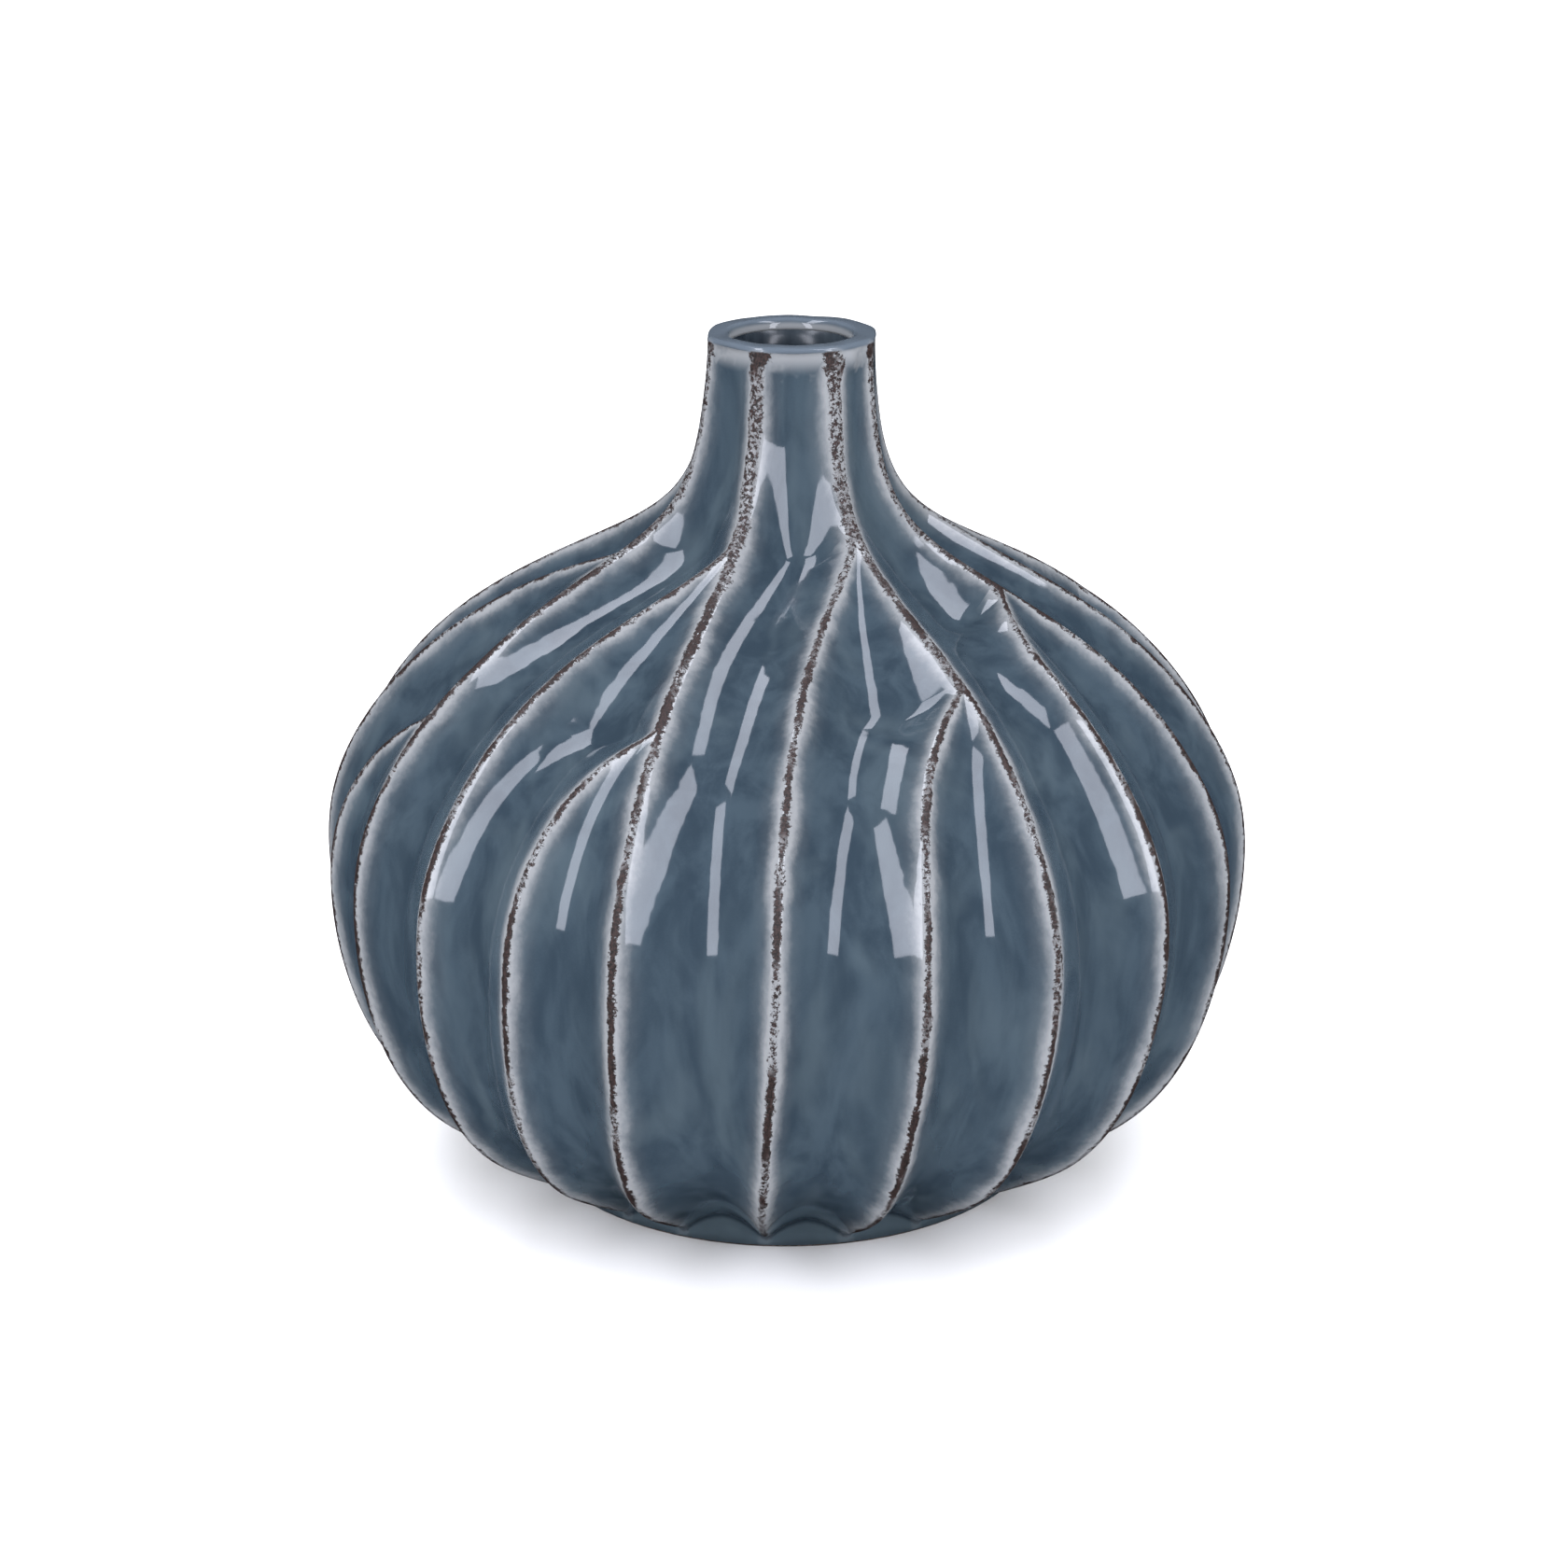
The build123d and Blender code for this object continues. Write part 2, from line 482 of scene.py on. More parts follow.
    def _cream_share(self, p: Paint, skin: Skin) -> Signal:
        """How far the glaze has thinned to cream.

        Args:
            p: The material's nodes.
            skin: The point on the coat.

        Returns:
            The share of cream.
        """
        ragged = p.noise(p.stretched(skin.place, self.drawn_edge), self.edge_raggedness) - 0.5
        wander = p.noise(skin.drawn, self.edge_wander) - 0.5
        edge = skin.crest + ragged * self.ragged_by - wander * self.wander_by
        halo = edge.rise(*self.halo) ** self.halo_power * self.halo_share
        halo = halo + edge.rise(*self.haze) * self.haze_share
        low = skin.foot.rise(*self.low_belly) * (1 - self.low_belly_share) + self.low_belly_share
        halo = halo * skin.foot.rise(*self.clear_of_foot) * low
        halo = halo + edge.rise(*self.bright_edge) * self.bright_share
        patchy = p.noise(skin.place, self.lip_patches).rise(*self.patch_step)
        under_lip = (skin.rim + patchy * self.patch_lift).rise(*self.lip_cream)
        under_lip = under_lip * skin.rim.rise(*self.below_lip)
        under_lip = under_lip * (patchy * self.lip_cream_more + self.lip_cream_least)
        in_mouth = skin.rim.rise(*self.mouth_cream_top) * skin.rim.rise(*self.mouth_cream_end)
        return halo.at_least(under_lip).at_least(in_mouth * self.mouth_cream_share)

    def _broken_share(self, p: Paint, skin: Skin) -> Signal:
        """Where the glaze has broken to the clay.

        Args:
            p: The material's nodes.
            skin: The point on the coat.

        Returns:
            1 on broken places, 0 on whole glaze.
        """
        neck = skin.rim.rise(*self.neck_reach)
        change = (p.noise(skin.drawn, self.core_change) - 0.5) * self.core_change_by
        width = change + self.core + neck * self.neck_widening
        chip = skin.rim.rise(*self.chip_reach) * p.noise(skin.place, self.chips).rise(*self.chip_step)
        chip = chip * self.chip_size
        tear = (p.noise(skin.place, self.tears) - 0.5) * self.tear_by
        broken = (width + chip - skin.crest - tear).rise(*self.core_edge)
        broken = broken * skin.rim.rise(*self.broken_from_lip) * skin.foot.rise(*self.broken_from_foot)
        speckled = p.noise(skin.drawn, self.speckled_lengths).rise(*self.speckled_step)
        speckled = speckled + neck * self.speckled_neck - chip * self.whole_chips
        speck = p.noise(skin.place, self.specks).rise(*self.speck_step) * self.speck_share
        return broken * (1 - speck * speckled.at_most(1.0).at_least(0.0))


@dataclass(frozen=True)
class LinerGlaze:
    """Dark glossy liner glaze of the inside, clouded with streaks that ran down the neck.

    A pattern's scale is in features per metre, and depths are in metres.
    """

    deep: Rgb = (0.010, 0.015, 0.022)
    pale: Rgb = (0.028, 0.038, 0.048)
    pit: Rgb = (0.020, 0.015, 0.013)
    drawn: Rgb = (1.0, 1.0, 0.2)
    streaks: Pattern = Pattern(420.0, 3.0, 0.6)
    cloud: Pattern = Pattern(120.0, 3.0, 0.55, 0.5)
    tone_step: Span = (0.25, 0.8)
    pits: float = 300.0
    pit_edge: Span = (0.12, 0.04)
    pit_share: float = 0.6
    pit_depth: float = 0.0001
    swell: Pattern = Pattern(300.0, 1.0)
    swell_depth: float = 0.00008
    gloss: float = 0.2
    cloud_matt_by: float = 0.1

    def material(self) -> bpy.types.Material:
        """Builds the material.

        Returns:
            The finished material.
        """
        material, p = new_material("liner_glaze")
        place = p.place()
        streak = p.noise(p.stretched(place, self.drawn), self.streaks)
        cloud = p.noise(place, self.cloud)
        colour = p.mix((streak + cloud - 0.5).rise(*self.tone_step), self.deep, self.pale)
        pits = p.cells(place, self.pits).rise(*self.pit_edge)
        swell = p.bump(p.noise(place, self.swell), self.swell_depth)
        p.surface(
            {
                "Base Color": p.mix(pits * self.pit_share, colour, self.pit),
                "Roughness": self.gloss + cloud * self.cloud_matt_by,
                "Normal": p.bump(1 - pits, self.pit_depth, swell),
                "IOR": GLAZE_IOR,
            }
        )
        return material


@dataclass(frozen=True)
class BareClay:
    """Matt dark stoneware, left bare where the vase stands.

    A pattern's scale is in features per metre, and depths are in metres.
    """

    dark: Rgb = (0.022, 0.014, 0.012)
    warm: Rgb = (0.070, 0.042, 0.033)
    dust: Rgb = (0.23, 0.19, 0.16)
    body: Pattern = Pattern(160.0, 4.0, 0.6)
    body_step: Span = (0.35, 0.68)
    grog: float = 900.0
    grog_edge: Span = (0.34, 0.16)
    grog_share: float = 0.35
    grog_relief: float = 0.4
    wear: Pattern = Pattern(55.0, 3.0, 0.6)
    wear_step: Span = (0.52, 0.72)
    wear_share: float = 0.3
    tooth: Pattern = Pattern(1400.0, 3.0, 0.6)
    tooth_depth: float = 0.00012
    matt: float = 0.72
    body_matt_by: float = 0.2
    ior: float = 1.5

    def material(self) -> bpy.types.Material:
        """Builds the material.

        Returns:
            The finished material.
        """
        material, p = new_material("bare_clay")
        place = p.place()
        body = p.noise(place, self.body)
        grog = p.cells(place, self.grog).rise(*self.grog_edge)
        worn = p.noise(place, self.wear).rise(*self.wear_step)
        colour = p.mix(body.rise(*self.body_step), self.dark, self.warm)
        colour = p.mix(grog * self.grog_share, colour, self.dust)
        tooth = p.noise(place, self.tooth) + grog * self.grog_relief
        p.surface(
            {
                "Base Color": p.mix(worn * self.wear_share, colour, self.dust),
                "Roughness": self.matt + body * self.body_matt_by,
                "Normal": p.bump(tooth, self.tooth_depth),
                "IOR": self.ior,
            }
        )
        return material


@dataclass(frozen=True)
class StudioPaper:
    """Plain pale sweep the vase stands on."""

    tint: Rgb = (0.95, 0.95, 0.955)
    roughness: float = 0.9
    specular: float = 0.1

    def material(self) -> bpy.types.Material:
        """Builds the material.

        Returns:
            The finished material.
        """
        material, p = new_material("studio_paper")
        tint, gloss = (*self.tint, 1.0), self.specular
        p.surface({"Base Color": tint, "Roughness": self.roughness, "Specular IOR Level": gloss})
        return material


# -------- shape of the vase


def ease(value: float, start: float, end: float) -> float:
    """An eased step: 0 before start, 1 after end."""
    t = min(1.0, max(0.0, (value - start) / (end - start)))
    return t * t * (3 - 2 * t)


class CrestLine:
    """A smooth curve through radius-and-height points, read by the share of its length."""

    SAMPLES = 3000

    def __init__(self, points: Sequence[Span]) -> None:
        """Fits the curve.

        Args:
            points: Radius and height of each point, in millimetres, from the foot upwards.
        """
        p = np.array(points, float)
        h = np.linalg.norm(np.diff(p, axis=0), axis=1)
        slope = np.diff(p, axis=0) / h[:, None]
        n = len(p)
        matrix, right = np.zeros((n, n)), np.zeros((n, 2))
        for i in range(1, n - 1):
            matrix[i, i - 1 : i + 2] = h[i], 2 * (h[i - 1] + h[i]), h[i - 1]
            right[i] = 3 * (h[i] * slope[i - 1] + h[i - 1] * slope[i])
        matrix[0, 0] = matrix[-1, -1] = 1.0
        right[0] = slope[0] - h[0] * (slope[1] - slope[0]) / (h[0] + h[1])
        right[-1] = slope[-1] + h[-1] * (slope[-1] - slope[-2]) / (h[-1] + h[-2])
        tangent = np.linalg.solve(matrix, right)
        knots = np.concatenate([[0.0], np.cumsum(h)])
        u = np.linspace(0.0, knots[-1], self.SAMPLES)
        i = np.clip(np.searchsorted(knots, u, side="right") - 1, 0, n - 2)
        t = ((u - knots[i]) / h[i])[:, None]
        step = h[i][:, None]
        self.at = (
            (1 + 2 * t) * (1 - t) ** 2 * p[i]
            + t * (1 - t) ** 2 * step * tangent[i]
            + t * t * (3 - 2 * t) * p[i + 1]
            + t * t * (t - 1) * step * tangent[i + 1]
        )
        run = np.linalg.norm(np.diff(self.at, axis=0), axis=1)
        self.travelled = np.concatenate([[0.0], np.cumsum(run)])
        self.length = float(self.travelled[-1])
        along = np.gradient(self.at, self.travelled, axis=0)
        self.along = along / np.linalg.norm(along, axis=1)[:, None]

    def _read(self, table: np.ndarray, down: float) -> Span:
        """Reads a table at a distance down from the top end.

        Args:
            table: Two columns, one row per sample.
            down: Distance from the top end, in millimetres.

        Returns:
            The two values.
        """
        up = self.length - down
        return (
            float(np.interp(up, self.travelled, table[:, 0])),
            float(np.interp(up, self.travelled, table[:, 1])),
        )

    def point(self, down: float) -> Span:
        """Radius and height at a distance down from the top end."""
        return self._read(self.at, down)

    def outward(self, down: float) -> Span:
        """Outward normal at a distance down from the top end."""
        tr, tz = self._read(self.along, down)
        return tz / math.hypot(tr, tz), -tr / math.hypot(tr, tz)

    def down_to(self, height: float) -> float:
        """Distance down from the top end to a height."""
        return self.length - float(np.interp(height, self.at[:, 1], self.travelled))


@dataclass(frozen=True)
class Branch:
    """A crest that leaves its group's main crest on the shoulder."""

    spread: float
    height: float
    swing: float


@dataclass(frozen=True)
class CrestGroup:
    """Crests that run together on the neck; angles in degrees, 0 at the front."""

    neck: float
    belly: float
    branches: tuple[Branch, ...]


@dataclass
class FlutedForm:
    """The fluted outside of the vase, in millimetres and degrees, shared by every coat."""

    height: float = 128.7
    lip_r: float = 1.0
    belly_r: float = 70.0
    tool_r: float = 9.5
    depth_limit: float = 6.6
    foot_deepening: float = 0.4
    foot_span: Span = (2.0, 26.0)
    neck_deepening: float = 0.35
    neck_span: Span = (90.0, 104.0)
    lip_fading: float = 0.65
    fade_span: Span = (114.0, 127.0)
    merged_gap: float = 0.45
    lean: float = 0.022
    lean_from: float = 87.0
    swing: Span = (102.7, 83.0)
    foot_twist: float = -3.0
    twist_from: float = 49.5
    twist_power: float = 1.3
    crest_soft: float = 0.4
    groups: tuple[CrestGroup, ...] = (
        CrestGroup(-69.5, -63.0, (Branch(25.0, 97.8, 9.0), Branch(12.0, 78.0, 9.0))),
        CrestGroup(-20.3, -19.6, (Branch(28.0, 102.2, 16.0), Branch(14.0, 83.5, 10.0))),
        CrestGroup(30.7, 32.2, (Branch(33.6, 102.7, 15.0), Branch(16.5, 86.9, 10.0))),
        CrestGroup(66.0, 67.8, (Branch(17.6, 93.8, 6.0),)),
        CrestGroup(110.9, 114.9, (Branch(31.4, 101.7, 15.0), Branch(15.7, 84.0, 10.0))),
        CrestGroup(155.8, 162.0, (Branch(31.4, 102.7, 14.0), Branch(15.7, 86.0, 11.0))),
        CrestGroup(200.7, 209.2, (Branch(31.4, 101.2, 15.0), Branch(15.7, 82.0, 10.0))),
        CrestGroup(245.6, 256.3, (Branch(31.4, 102.2, 16.0), Branch(15.7, 85.0, 10.0))),
    )
    line: CrestLine = field(init=False)

    def __post_init__(self) -> None:
        """Fits the crest line through the driving points."""
        self.line = CrestLine(
            [
                (37.6, 0.9),
                (47.6, 6.4),
                (56.7, 12.8),
                (63.6, 21.8),
                (68.0, 33.3),
                (self.belly_r, 46.1),
                (68.9, 59.0),
                (62.9, 71.3),
                (53.3, 81.9),
                (41.6, 89.8),
                (30.0, 95.7),
                (22.9, 99.8),
                (18.6, 103.7),
                (15.4, 109.6),
                (13.65, 117.5),
                (12.8, self.height - self.lip_r),
            ]
        )
        self._leaves = {
            b.height: self.line.down_to(b.height) for g in self.groups for b in g.branches
        }

    @property
    def lip_centre(self) -> Span:
        """Radius and height of the centre of the lip's rounding."""
        return self.line.point(0.0)[0] - self.lip_r, self.height - self.lip_r

    @property
    def crests(self) -> int:
        """Number of crests round the belly."""
        return sum(1 + len(g.branches) for g in self.groups)

    def crest_angles(self, down: float, radius: float, z: float) -> list[float]:
        """Angles of all the crests on one ring.

        Args:
            down: Distance down the crest line.
            radius: Radius of the ring.
            z: Height of the ring.

        Returns:
            Angles in degrees, in order, with the first repeated a turn later at the end.
        """
        gap = math.degrees(self.merged_gap / radius)
        angles: list[float] = []
        for group in self.groups:
            main = group.neck + (group.belly - group.neck) * ease(z, *self.swing)
            if z < self.twist_from:
                main += self.foot_twist * (1 - z / self.twist_from) ** self.twist_power
            last, ring = main, [main]
            for branch in reversed(group.branches):
                run = max(0.0, down - self._leaves[branch.height])
                out = branch.spread * (1 - math.exp(-run / branch.swing))
                last = min(main - out, last - gap)
                ring.insert(0, last)
            angles += ring
        return angles + [angles[0] + 360]

    def flute_depth(self, width: float, z: float) -> float:
        """Depth of a flute's middle below its crests.

        Args:
            width: Width of the flute.
            z: Height.

        Returns:
            The depth.
        """
        depth = self.depth_limit * math.tanh(width**2 / (8 * self.tool_r * self.depth_limit))
        share = 1 + self.foot_deepening * (1 - ease(z, *self.foot_span))
        share += self.neck_deepening * ease(z, *self.neck_span)
        return depth * (share - self.lip_fading * ease(z, *self.fade_span))

    def lean_at(self, z: float) -> float:
        """Sideways lean of the neck at a height."""
        return max(0.0, z - self.lean_from) * self.lean


class Zone(Enum):
    """Stretch of a coat's closed outline that a ring of vertices belongs to."""

    FACE = "fluted outside"
    FOOT = "foot ring"
    LIP = "crest of the lip"
    MOUTH = "rounding inside the mouth"
    MOUTH_BACK = "clay side of the mouth's rounding"
    LIP_BACK = "clay side of the lip"
    BACK = "clay side of the fluted outside"


@dataclass(frozen=True)
class Station:
    """One ring of vertices of a coat, before the flutes are pressed in.

    Attributes:
        zone: The stretch of outline.
        radius: Crest radius of the ring.
        z: Crest height of the ring.
        nr: Radial part of the outward normal.
        nz: Upward part of the outward normal.
        down: Distance down the crest line.
        run: Distance from the crest of the lip, negative inside the mouth.
        share: How much of the flutes is left.
    """

    zone: Zone
    radius: float
    z: float
    nr: float
    nz: float
    down: float
    run: float
    share: float = 1.0


def full_spin(bm: bmesh.types.BMesh, chain: list[Any], steps: int) -> None:
    """Spins a chain of vertices and edges a full turn about the Z axis, in so many steps."""
    bmesh.ops.spin(
        bm,
        geom=chain,
        cent=(0.0, 0.0, 0.0),
        axis=(0.0, 0.0, 1.0),
        dvec=(0.0, 0.0, 0.0),
        angle=2 * math.pi,
        steps=steps,
        use_merge=True,
    )


def spun_rings(bm: bmesh.types.BMesh, rings: int, columns: int) -> list[tuple[Any, int, int]]:
    """Spins a closed chain of vertices into a tube that closes on itself.

    Args:
        bm: The mesh to fill.
        rings: Vertices in the chain.
        columns: Steps round the full turn.

    Returns:
        Each vertex with its ring and column.
    """
    chain = [bm.verts.new((1.0 + i, 0.0, 0.0)) for i in range(rings)]
    edges = [bm.edges.new((a, b)) for a, b in zip(chain, chain[1:] + chain[:1])]
    full_spin(bm, chain + edges, columns)
    found = []
    for vert in bm.verts:
        radius, turn = math.hypot(vert.co.x, vert.co.y), math.atan2(vert.co.y, vert.co.x)
        found.append((vert, round(radius - 1.0), round(turn / (2 * math.pi) * columns) % columns))
    return found


def finished_piece(bm: bmesh.types.BMesh, name: str, material: bpy.types.Material) -> bpy.types.Object:
    """Turns a bmesh into a smooth piece at the origin.

    Args:
        bm: The mesh, freed here.
        name: The piece's name.
        material: Its finish.

    Returns:
        The object.
    """
    bm.normal_update()
    bmesh.ops.recalc_face_normals(bm, faces=bm.faces)
    for face in bm.faces:
        face.smooth = True
    mesh = bpy.data.meshes.new(name)
    bm.to_mesh(mesh)
    bm.free()
    mesh.materials.append(material)
    piece = bpy.data.objects.new(name, mesh)
    bpy.context.collection.objects.link(piece)
    return piece


@dataclass
class GlazeCoat:
    """The outside glaze: fluted face, foot band, lip and mouth, closed behind on the clay.

    Sizes are in millimetres, and angles in degrees.
    """

    form: FlutedForm
    finish: BreakingGlaze = BreakingGlaze()

    # spacing of the columns and rings; each stretch is measured from its own end of the crest line
    columns_per_flute: int = 14
    column_crowding: float = 0.075
    face_step: float = 1.15
    neck_step: float = 0.75
    neck_stretch: float = 16.0
    foot_step: float = 0.55
    foot_stretch: float = 17.0
    back_step: float = 3.2
    back_start: float = 0.4
    lip_steps: int = 6
    lip_back_steps: tuple[int, ...] = (4, 2)
    mouth_steps: int = 8
    level_stretch: float = 8.0

    # foot
    foot_r: float = 39.7
    foot_soft: float = 0.35
    foot_reach: float = 14.0
    foot_shading_reach: float = 20.0
    foot_ring_mark: float = -2.0
    glaze_line: float = 0.6

    # mouth
    mouth_r: float = 8.7
    flare_r: float = 10.0
    neck_x: float = 0.75
    bore_top: float = 126.9
    mouth_run_start: float = -0.3
    mouth_run_stretch: float = 0.8
    hidden_mouth_run: float = -6.0
    hidden_run: float = 9.0
    lip_crest_gap: float = 2.5

    # thickness
    liner: float = 0.4
    crest_coat: float = 0.3
    flute_coat: float = 0.7
    lip_coat: float = 0.5
    lip_coat_span: Span = (113.0, 125.0)
    full_flute: float = 0.6

    # run of glaze that hangs from the lip
    run_angle: float = 42.0
    run_height: float = 126.2
    run_swell: float = 0.95
    run_spread: Span = (1.5, 1.7)

    # unevenness of hand finishing
    waver_pitch: Span = (2.1, 0.05)
    face_waver: float = 0.12
    face_waver_span: Span = (6.0, 16.0)
    lip_waver: float = 0.35

    def stations(self) -> list[Station]:
        """The closed outline, from the foot up the face, over the lip and back down the clay.

        Returns:
            The rings in order.
        """
        foot = self._foot_ring(self.foot_r)
        foot_back = self._foot_ring(self.foot_r - self.crest_coat)
        return [foot, *self._face(), *self._lip(), *self._mouth(), *self._back(), foot_back]

    @property
    def _lip_arc(self) -> float:
        """Length of the lip's rounding."""
        return self.form.lip_r * math.pi / 2

    def _foot_ring(self, radius: float) -> Station:
        """A ring where the glaze ends above the table."""
        end = self.form.line.length
        return Station(Zone.FOOT, radius, self.glaze_line, 1.0, 0.0, end, end)

    def _face(self) -> list[Station]:
        """The fluted outside, from the foot up.

        Returns:
            The rings in order.
        """
        line = self.form.line
        downs, down = [], 0.0
        while down < line.length:
            downs.append(down)
            down += self._step(down)
        downs.append(line.length)
        rings = []
        for down in reversed(downs):
            r, z = line.point(down)
            nr, nz = line.outward(down)
            nz *= min(1.0, down / self.level_stretch)
            size = math.hypot(nr, nz)
            run = down + self._lip_arc
            rings.append(Station(Zone.FACE, r, z, nr / size, nz / size, down, run))
        return rings

    def _step(self, down: float) -> float:
        """Spacing of the rings at a distance down the crest line."""
        lower = self.foot_step if down > self.form.line.length - self.foot_stretch else self.face_step
        return self.neck_step if down < self.neck_stretch else lower

    def _lip_point(self, turn: float, radius: float) -> Span:
        """Radius and height of a point on the lip's rounding."""
        centre_r, centre_z = self.form.lip_centre
        return centre_r + radius * math.cos(turn), centre_z + radius * math.sin(turn)

    def _lip(self) -> list[Station]:
        """The rounding over the lip.

        Returns:
            The rings in order.
        """
        rings = []
        for i in range(1, self.lip_steps + 1):
            a = math.radians(90 * i / self.lip_steps)
            r, z = self._lip_point(a, self.form.lip_r)
            run = self._lip_arc * (1 - i / self.lip_steps)
            left = 1 - ease(i, 0, self.lip_steps)
            rings.append(Station(Zone.LIP, r, z, math.cos(a), math.sin(a), 0.0, run, left))
        return rings

    def _mouth(self) -> list[Station]:
        """The rounding inside the mouth, down its glazed side and back up its clay side.

        Returns:
            The rings in order.
        """
        steps = self.mouth_steps
        flare, rise = self.flare_r - self.mouth_r, self.form.height - self.bore_top
        rings = []
        for i in range(steps + 1):
            a = math.radians(90 * i / steps)
            r, z = self.flare_r - flare * math.sin(a), self.bore_top + rise * math.cos(a)
            run = self.mouth_run_start - (flare + rise) * self.mouth_run_stretch * i / steps
            rings.append(Station(Zone.MOUTH, r, z, -math.sin(a), math.cos(a), 0.0, run, 0.0))
        for i in range(steps, -1, -2):
            a = math.radians(90 * i / steps)
            r = self.flare_r - (flare - self.liner) * math.sin(a)
            z = self.bore_top + (rise - self.lip_coat) * math.cos(a)
            run = self.hidden_mouth_run
            rings.append(Station(Zone.MOUTH_BACK, r, z, -math.sin(a), math.cos(a), 0.0, run, 0.0))
        return rings

    def _back(self) -> list[Station]:
        """The clay side, from the lip down to the foot.

        Returns:
            The rings in order.
        """
        line = self.form.line
        rings = []
        for i in self.lip_back_steps:
            r, z = self._lip_point(math.radians(90 * i / self.lip_steps), self.form.lip_r - self.lip_coat)
            left = 1 - ease(i, 0, self.lip_steps)
            rings.append(Station(Zone.LIP_BACK, r, z, 1.0, 0.0, 0.0, self.hidden_run, left))
        down = self.back_start
        while down < line.length:
            (r, z), (nr, nz) = line.point(down), line.outward(down)
            rings.append(Station(Zone.BACK, r, z, nr, nz, down, self.hidden_run))
            down += self.back_step
        return rings

    def build(self) -> bpy.types.Object:
        """Builds and dresses the coat.

        Returns:
            The piece.
        """
        f = self.form
        rings = self.stations()
        angles = [f.crest_angles(s.down, s.radius, s.z) for s in rings]
        k = self.columns_per_flute
        bm = bmesh.new()
        crest = bm.verts.layers.float.new("crest")
        foot = bm.verts.layers.float.new("foot")
        rim = bm.verts.layers.float.new("rim")
        skin = bm.verts.layers.float_vector.new("skin")
        for vert, i, column in spun_rings(bm, len(rings), f.crests * k):
            s = rings[i]
            flute, t = divmod(column / k, 1.0)
            left, right = angles[i][int(flute)], angles[i][int(flute) + 1]
            t -= self.column_crowding * math.sin(2 * math.pi * t)
            angle = math.radians(left + (right - left) * t)
            width = math.radians(right - left) * s.radius
            edge = min(t, 1 - t) * width
            depth = f.flute_depth(width, s.z)
            across = (math.hypot(edge, f.crest_soft) - f.crest_soft) / max(width, TINY)
            sunk = s.share * depth * 4 * across * (1 - across)
            vert.co = self._place(s, angle, sunk, depth) * MM
            vert[crest] = edge + self.lip_crest_gap * (1 - s.share)
            vert[foot] = self._above_foot(s, sunk)
            vert[rim] = s.run
            vert[skin] = Vector((s.radius * math.sin(angle), -s.radius * math.cos(angle), s.run))
        piece = finished_piece(bm, "glaze_coat", self.finish.material())
        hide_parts("outer_glaze")
        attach(piece, BODY)
        return piece

    def _place(self, s: Station, angle: float, sunk: float, depth: float) -> Vector:
        """Where one vertex goes.

        Args:
            s: Its ring.
            angle: Its angle, in radians.
            sunk: How far the flute takes it below the crests.
            depth: Depth of the flute's middle.

        Returns:
            The place, in millimetres.
        """
        waver = self._hand_waver(angle, s.z)
        if s.zone is Zone.FOOT:
            return Vector((s.radius * math.sin(angle), -s.radius * math.cos(angle), s.z))
        if s.zone in (Zone.MOUTH, Zone.MOUTH_BACK):
            low = waver * self.lip_waver * max(0.0, s.nz) if s.zone is Zone.MOUTH else 0.0
            x, y = s.radius * math.sin(angle), -s.radius * math.cos(angle)
            return Vector((self.neck_x + x, y, s.z - low))
        if s.zone is Zone.BACK:
            sunk += self._coat_thickness(s, sunk, depth)
        elif s.zone is Zone.FACE:
            sunk += waver * self.face_waver * ease(s.z, *self.face_waver_span)
            sunk -= self._glaze_run(angle, s)
        r, z = s.radius - sunk * s.nr, s.z - sunk * s.nz
        if s.zone is Zone.LIP:
            z -= waver * self.lip_waver * s.nz
        if z < self.foot_reach:
            foot = self.foot_r - (self.crest_coat if s.zone is Zone.BACK else 0.0)
            over = r - foot
            r = foot + 0.5 * (over + math.hypot(over, self.foot_soft))
            z = max(z, self.glaze_line)
        lean = self.form.lean_at(z)
        return Vector((lean + r * math.sin(angle), -r * math.cos(angle), z))

    def _coat_thickness(self, s: Station, sunk: float, depth: float) -> float:
        """Thickness of the glaze, from thin on the crests to thick in the flutes.

        Args:
            s: The ring.
            sunk: How far the flute lies below the crests here.
            depth: Depth of the flute's middle.

        Returns:
            The thickness.
        """
        even = ease(s.z, *self.lip_coat_span)
        thin = self.crest_coat + (self.lip_coat - self.crest_coat) * even
        thick = self.flute_coat + (self.lip_coat - self.flute_coat) * even
        filled = min(1.0, depth / self.full_flute) * min(1.0, sunk / max(depth, TINY))
        return thin + (thick - thin) * filled

    def _glaze_run(self, angle: float, s: Station) -> float:
        """Swelling of the run of glaze that hangs from the lip.

        Args:
            angle: Angle round the vase, in radians.
            s: The ring.

        Returns:
            How far it stands out, in millimetres.
        """
        wide, tall = self.run_spread
        across = (angle - math.radians(self.run_angle)) * s.radius / wide
        along = (s.z - self.run_height) / tall
        return self.run_swell * math.exp(-(across**2) - along**2)

    def _above_foot(self, s: Station, sunk: float) -> float:
        """How far a vertex stands out from the foot ring.

        Args:
            s: Its ring.
            sunk: How far it lies below the crests.

        Returns:
            The distance in millimetres, negative on the foot ring.
        """
        if s.zone is Zone.FOOT:
            return self.foot_ring_mark
        if s.z >= self.foot_shading_reach:
            return self.foot_shading_reach
        return s.radius - sunk * s.nr - self.foot_r

    def _hand_waver(self, angle: float, z: float) -> float:
        """Slow unevenness of hand finishing, from 0 to 1.

        Args:
            angle: Angle round the vase, in radians.
            z: Height in millimetres.

        Returns:
            The waver.
        """
        around, upward = self.waver_pitch
        at = Vector((math.sin(angle) * around, math.cos(angle) * around, z * upward))
        return min(1.0, max(0.0, 0.5 + 0.5 * noise.noise(at)))


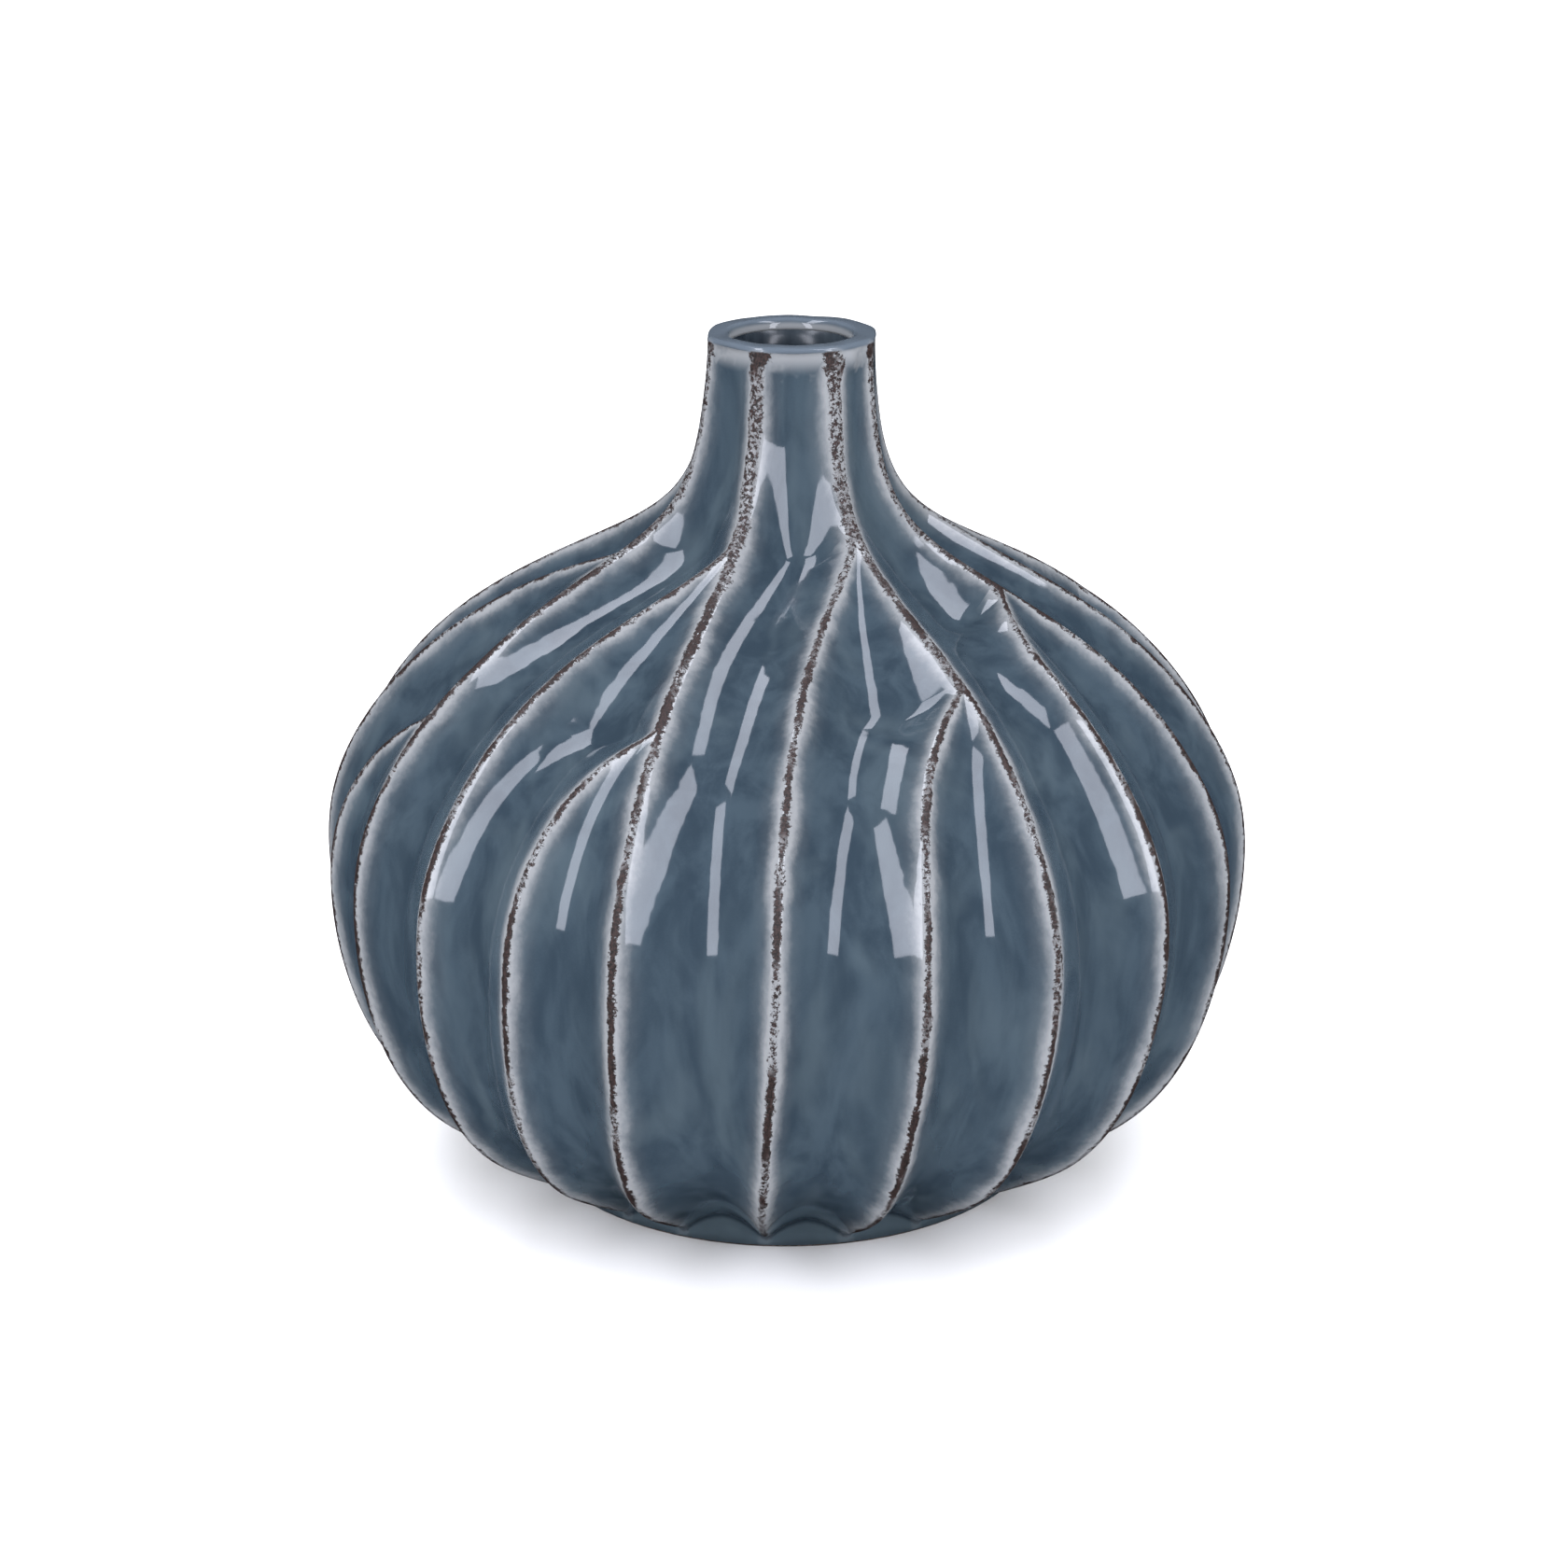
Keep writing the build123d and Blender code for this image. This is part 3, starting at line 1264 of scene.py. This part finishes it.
@dataclass
class LinerCoat:
    """The liner glaze of the belly and the neck, a closed thin shell of revolution.

    Sizes are in millimetres. The wall is followed between two shares of the crest line's length.
    """

    form: FlutedForm
    finish: LinerGlaze = LinerGlaze()
    columns: int = 144
    wall_points: int = 12
    floor_rings: int = 6
    side_rings: int = 60
    neck_rings: int = 8
    wall: float = 8.0
    liner: float = 0.4
    bore_r: float = 8.7
    neck_x: float = 0.75
    neck_low: float = 104.8
    neck_top: float = 126.9
    neck_bend: float = 8.0
    span: Span = (0.035, 0.775)
    throat: tuple[Span, ...] = ((14.9, 96.2), (10.6, 100.3))
    throat_end: Span = (0.2, 1.5)

    def outline(self, inset: float) -> list[Span]:
        """Outline of the hollow from the floor's middle to the top of the neck.

        Args:
            inset: How far it stands off the clay.

        Returns:
            Radius and height of each point.
        """
        line = self.form.line
        low, high = self.span
        off = self.wall + inset
        wall = []
        for i in range(self.wall_points):
            up = low + (high - low) * i / (self.wall_points - 1)
            (r, z), (nr, nz) = line.point((1 - up) * line.length), line.outward((1 - up) * line.length)
            wall.append((r - off * nr, z - off * nz))
        bore = self.bore_r + self.liner - inset
        in_by, down_by = self.throat_end
        wall += [(r - inset, z) for r, z in self.throat] + [(bore - in_by, self.neck_low - down_by)]
        curve = CrestLine(wall)
        floor_r, floor_z = wall[0]
        rise = self.neck_top - self.neck_low
        floor = [(floor_r * i / self.floor_rings, floor_z) for i in range(self.floor_rings)]
        side = [curve.point(curve.length * (1 - i / self.side_rings)) for i in range(self.side_rings + 1)]
        neck = [(bore, self.neck_low + rise * i / self.neck_rings) for i in range(self.neck_rings + 1)]
        return floor + side + neck

    def build(self) -> bpy.types.Object:
        """Builds and dresses the liner.

        Returns:
            The piece.
        """
        bm = bmesh.new()
        inner, outer = self.outline(self.liner), self.outline(0.0)
        chain = [bm.verts.new((r * MM, 0.0, z * MM)) for r, z in inner + outer[::-1]]
        edges = [bm.edges.new(pair) for pair in zip(chain, chain[1:])]
        full_spin(bm, chain + edges, self.columns)
        bmesh.ops.remove_doubles(bm, verts=bm.verts, dist=MERGE_DISTANCE)
        for vert in bm.verts:
            bent = ease(vert.co.z / MM, self.neck_low - self.neck_bend, self.neck_low)
            vert.co.x += self.neck_x * MM * bent
        piece = finished_piece(bm, "liner_coat", self.finish.material())
        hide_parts("inner_glaze")
        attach(piece, BODY)
        return piece


@dataclass
class ClayBody:
    """The fired body, kept as built and dressed as bare stoneware."""

    node: str = "clay_body"
    finish: BareClay = BareClay()

    def build(self) -> bpy.types.Object:
        """Dresses the body.

        Returns:
            The body's object.
        """
        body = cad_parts[self.node]
        material = self.finish.material()
        for slot in body.material_slots:
            slot.material = material
        return body


# -------- studio


@dataclass(frozen=True)
class Softbox:
    """A rectangular light aimed at the vase.

    Attributes:
        name: What it is.
        azimuth: Degrees to the right of the front.
        elevation: Degrees above the table.
        distance: Metres from the vase.
        width: Metres across.
        height: Metres tall.
        radiance: Brightness of its face.
    """

    name: str
    azimuth: float
    elevation: float
    distance: float
    width: float
    height: float
    radiance: float

    def build(self, aim: Vector, tint: Rgb) -> bpy.types.Object:
        """Hangs the light.

        Args:
            aim: The point it faces.
            tint: Its colour.

        Returns:
            The light object.
        """
        data = bpy.data.lights.new(self.name, "AREA")
        data.shape = "RECTANGLE"
        data.size, data.size_y = self.width, self.height
        data.energy = self.radiance * math.pi * self.width * self.height
        data.color = tint
        lamp = bpy.data.objects.new(self.name, data)
        a, e = math.radians(self.azimuth), math.radians(self.elevation)
        level = math.cos(e)
        away = Vector((math.sin(a) * level, -math.cos(a) * level, math.sin(e)))
        lamp.location = aim + away * self.distance
        lamp.rotation_euler = away.to_track_quat("Z", "Y").to_euler()
        bpy.context.collection.objects.link(lamp)
        return lamp


@dataclass
class Studio:
    """Pale sweep, soft surround, strip lights and the camera, in metres and degrees."""

    aim_height: float = 0.0641
    camera_distance: float = 0.484
    camera_elevation: float = 19.21
    lens: float = 72.97
    sensor: float = 36.0
    shift: Span = (-0.0012, -0.0225)
    floor_half: float = 8.0
    surround: float = 1.55
    tint: Rgb = (0.87, 0.89, 1.0)
    softboxes: tuple[Softbox, ...] = (
        Softbox("front_left", -36.0, 28.5, 1.0, 0.25, 1.10, 6.6),
        Softbox("front_right", 36.0, 28.5, 1.0, 0.25, 1.10, 6.6),
        Softbox("overhead_left", -97.0, 67.0, 1.05, 0.80, 0.24, 6.6),
        Softbox("overhead_right", 84.0, 67.0, 1.05, 0.60, 0.18, 6.6),
    )

    def build(self) -> None:
        """Builds the whole studio."""
        aim = Vector((0.0, 0.0, self.aim_height))
        for box in self.softboxes:
            box.build(aim, self.tint)
        self._floor()
        self._surround()
        self._camera(aim)
        bpy.context.scene.view_settings.view_transform = "Standard"

    def _floor(self) -> None:
        """Lays the sweep."""
        bm = bmesh.new()
        bmesh.ops.create_grid(bm, x_segments=1, y_segments=1, size=self.floor_half)
        floor = finished_piece(bm, "studio_floor", StudioPaper().material())
        floor.visible_glossy = False

    def _surround(self) -> None:
        """Fills the room with even soft light that leaves the glaze's reflections to the lamps."""
        world = bpy.data.worlds.new("soft_surround")
        world.use_nodes = True
        p = Paint(world.node_tree)
        inputs = {"Color": (1.0, 1.0, 1.0, 1.0), "Strength": self.surround}
        sky = p.node("ShaderNodeBackground", {}, inputs)
        p.node("ShaderNodeOutputWorld", {}, {"Surface": sky.outputs[0]})
        world.cycles_visibility.glossy = False
        bpy.context.scene.world = world

    def _camera(self, aim: Vector) -> None:
        """Sets up the camera.

        Args:
            aim: The point on its axis.
        """
        data = bpy.data.cameras.new("view")
        data.sensor_width, data.lens = self.sensor, self.lens
        data.shift_x, data.shift_y = self.shift
        camera = bpy.data.objects.new("view", data)
        e = math.radians(self.camera_elevation)
        away = Vector((0.0, -math.cos(e), math.sin(e)))
        camera.location = aim + away * self.camera_distance
        camera.rotation_euler = away.to_track_quat("Z", "Y").to_euler()
        bpy.context.collection.objects.link(camera)
        bpy.context.scene.camera = camera


def write_sizes() -> None:
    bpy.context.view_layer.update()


def main() -> None:
    logging.basicConfig(level=logging.INFO)
    form = FlutedForm()
    for piece in (GlazeCoat(form).build(), LinerCoat(form).build(), ClayBody().build()):
        LOG.info("%s: %d faces", piece.name, len(piece.data.polygons))
    Studio().build()
    write_sizes()


if __name__ == "__main__":
    main()
